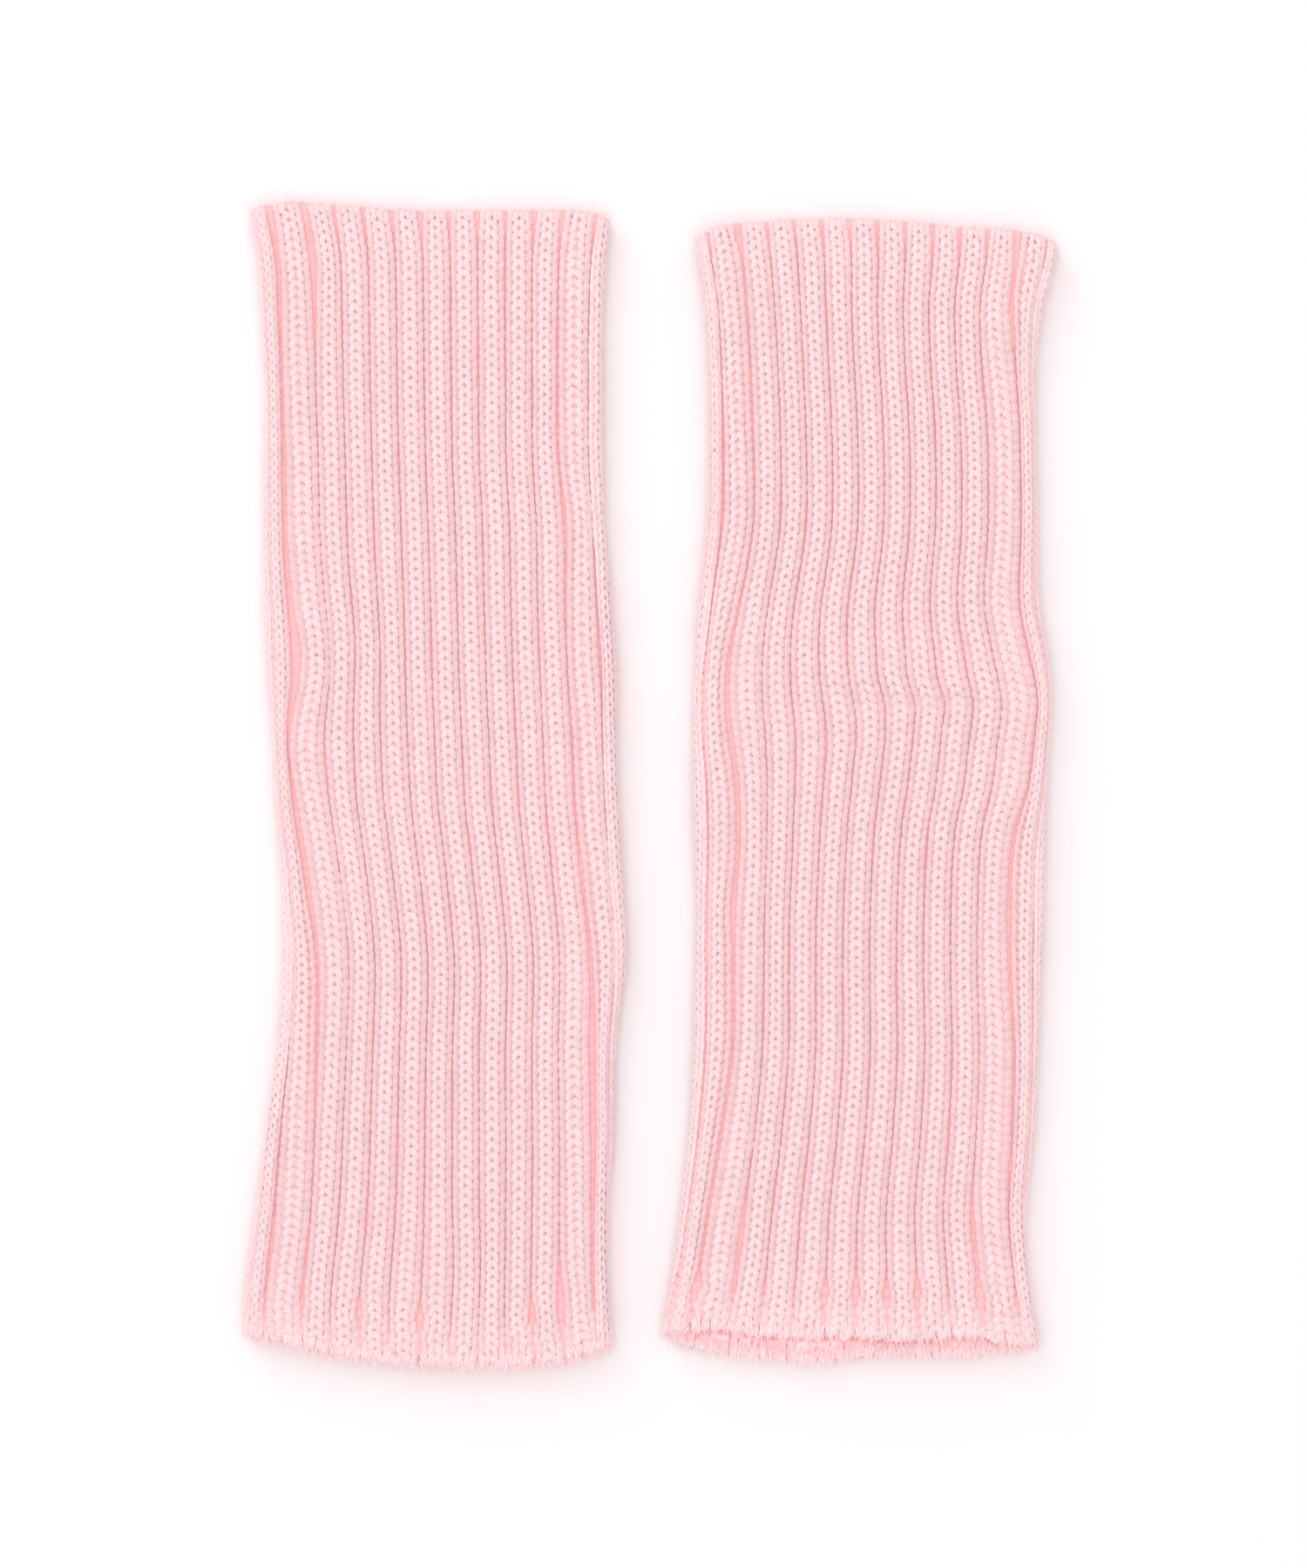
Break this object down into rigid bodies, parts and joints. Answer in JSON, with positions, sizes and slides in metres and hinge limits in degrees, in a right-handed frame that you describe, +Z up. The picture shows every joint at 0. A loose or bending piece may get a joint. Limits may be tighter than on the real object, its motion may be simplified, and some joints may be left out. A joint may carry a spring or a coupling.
{
  "type": "pair of leg warmers",
  "caption": "Rib-knit leg warmers laid flat side by side, each an open tube of soft pink yarn with a scalloped hem at both ends.",
  "frame": {"origin": "middle of the pair, on the surface that it lies on", "axes": "+X from the left one to the right one, +Y along the legs towards the top hem, +Z up from the surface"},
  "size_m": [0.2527, 0.3614, 0.0103],
  "materials": {
    "pink_yarn_left": "soft brushed acrylic yarn, pale pink, ribbed",
    "pink_yarn_right": "soft brushed acrylic yarn, pale pink, ribbed"
  },
  "bodies": {
    "root": {"leg_warmer_left": "pink_yarn_left", "leg_warmer_right": "pink_yarn_right"}
  },
  "joints": []
}
